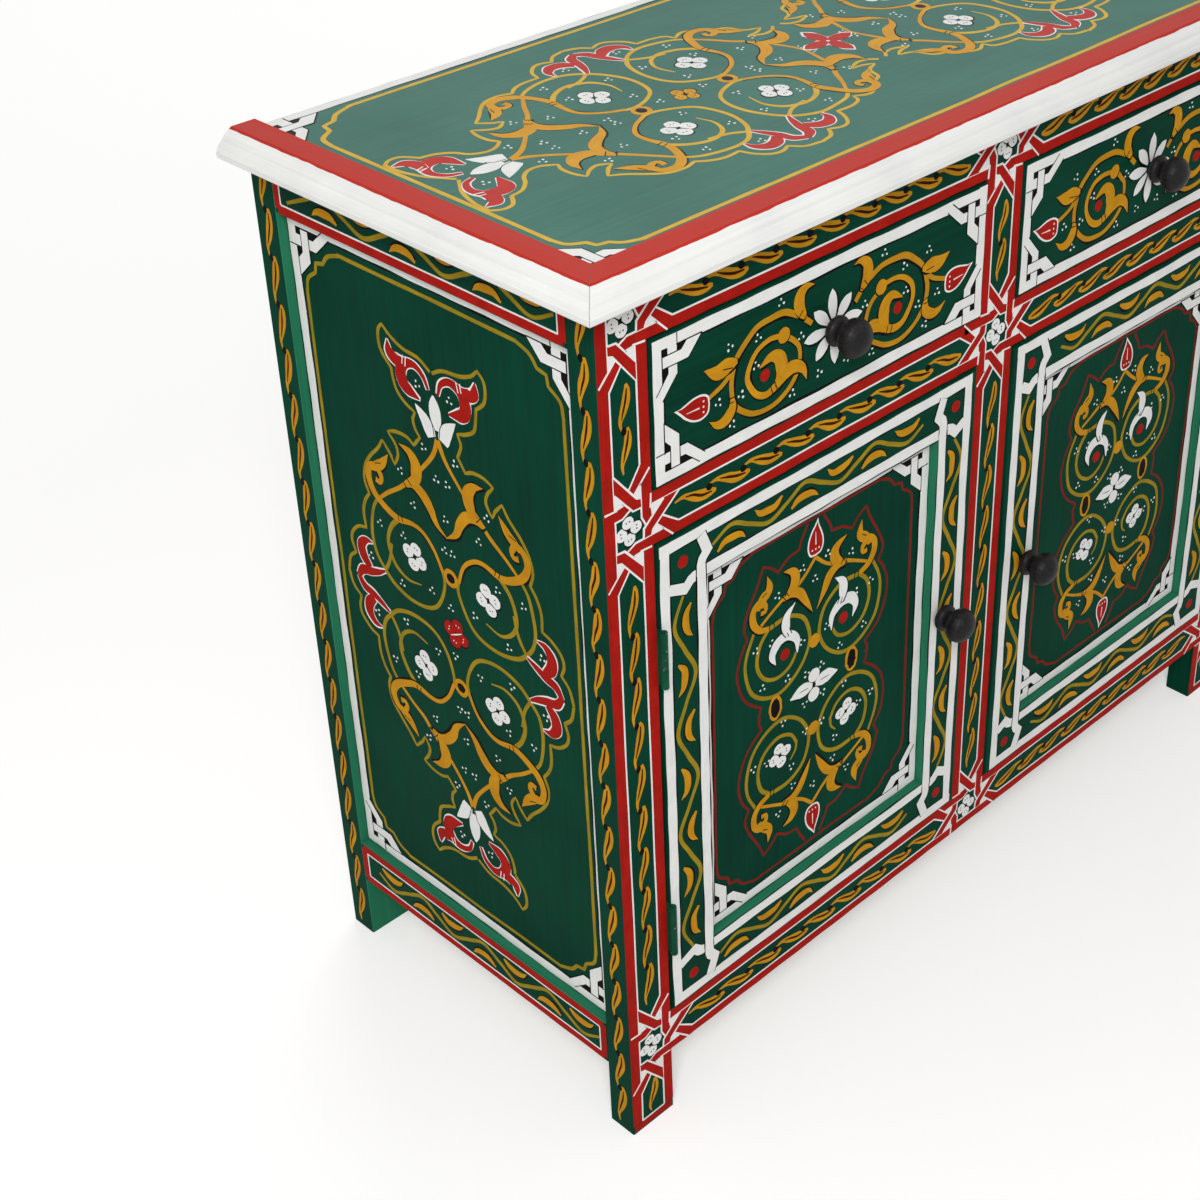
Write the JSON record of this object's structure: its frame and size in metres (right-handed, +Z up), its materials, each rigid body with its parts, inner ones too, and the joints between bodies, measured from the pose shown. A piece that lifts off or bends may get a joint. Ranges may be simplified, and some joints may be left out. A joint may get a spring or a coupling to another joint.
{
  "type": "painted dresser",
  "caption": "Painted wooden dresser with drawers over hinged cupboard doors, framed and panelled sides, turned knobs and a moulded top.",
  "frame": {"origin": "on the floor, under the middle of the whole object's box, knobs and moulding included", "axes": "+X to the viewer's right along the front, +Y from the front to the back, +Z up"},
  "size_m": [1, 0.4506, 0.858],
  "materials": {
    "green_paint": "dark green gloss paint on wood, hand painted ornament in red, white and ochre",
    "top_paint": "dark green gloss paint on wood, hand painted ornament",
    "white_paint": "white gloss paint on wood with a red flat along its top",
    "black_stain": "turned wood painted satin black",
    "bare_pine": "bare planed softwood",
    "plywood": "bare plywood",
    "hinge_paint": "steel butt hinge painted over with the green paint"
  },
  "bodies": {
    "carcass": {"post_front_left": "green_paint", "post_front_right": "green_paint", "post_back_left": "green_paint", "post_back_right": "green_paint", "mullion": "green_paint", "rail_front_top": "green_paint", "rail_front_mid_left": "green_paint", "rail_front_mid_right": "green_paint", "rail_front_bottom": "green_paint", "rail_side_top_left": "green_paint", "rail_side_top_right": "green_paint", "rail_side_bottom_left": "green_paint", "rail_side_bottom_right": "green_paint", "rail_back_top": "green_paint", "rail_back_mid": "bare_pine", "rail_back_bottom": "green_paint", "side_panel_left": "green_paint", "side_panel_right": "green_paint", "back_panel": "plywood", "floor_board": "bare_pine", "shelf": "bare_pine", "runner_left": "bare_pine", "runner_centre": "bare_pine", "runner_right": "bare_pine", "top_board": "top_paint", "top_moulding_front": "white_paint", "top_moulding_left": "white_paint", "top_moulding_right": "white_paint", "hinge_left_top_frame_leaf": "hinge_paint", "hinge_left_bottom_frame_leaf": "hinge_paint", "hinge_right_top_frame_leaf": "hinge_paint", "hinge_right_bottom_frame_leaf": "hinge_paint"},
    "drawer_left": {"drawer_left_front": "green_paint", "drawer_left_side_outer": "bare_pine", "drawer_left_side_inner": "bare_pine", "drawer_left_back": "bare_pine", "drawer_left_bottom": "plywood", "drawer_left_knob": "black_stain"},
    "drawer_right": {"drawer_right_front": "green_paint", "drawer_right_side_outer": "bare_pine", "drawer_right_side_inner": "bare_pine", "drawer_right_back": "bare_pine", "drawer_right_bottom": "plywood", "drawer_right_knob": "black_stain"},
    "door_left": {"door_left_stile_hinge": "green_paint", "door_left_stile_lock": "green_paint", "door_left_rail_top": "green_paint", "door_left_rail_bottom": "green_paint", "door_left_panel": "green_paint", "door_left_knob": "black_stain", "hinge_left_top_door_leaf": "hinge_paint", "hinge_left_bottom_door_leaf": "hinge_paint"},
    "door_right": {"door_right_stile_hinge": "green_paint", "door_right_stile_lock": "green_paint", "door_right_rail_top": "green_paint", "door_right_rail_bottom": "green_paint", "door_right_panel": "green_paint", "door_right_knob": "black_stain", "hinge_right_top_door_leaf": "hinge_paint", "hinge_right_bottom_door_leaf": "hinge_paint"}
  },
  "joints": [
    {"name": "drawer_left_slide", "type": "slide", "parent": "carcass", "child": "drawer_left", "axis": [0, -1, 0], "range_m": [0, 0.27]},
    {"name": "drawer_right_slide", "type": "slide", "parent": "carcass", "child": "drawer_right", "axis": [0, -1, 0], "range_m": [0, 0.27]},
    {"name": "door_left_swing", "type": "hinge", "parent": "carcass", "child": "door_left", "pos_m": [-0.42005, -0.19095, 0.3657], "axis": [0, 0, -1], "range_deg": [0, 170]},
    {"name": "door_right_swing", "type": "hinge", "parent": "carcass", "child": "door_right", "pos_m": [0.42005, -0.19095, 0.3657], "axis": [0, 0, 1], "range_deg": [0, 170]}
  ]
}
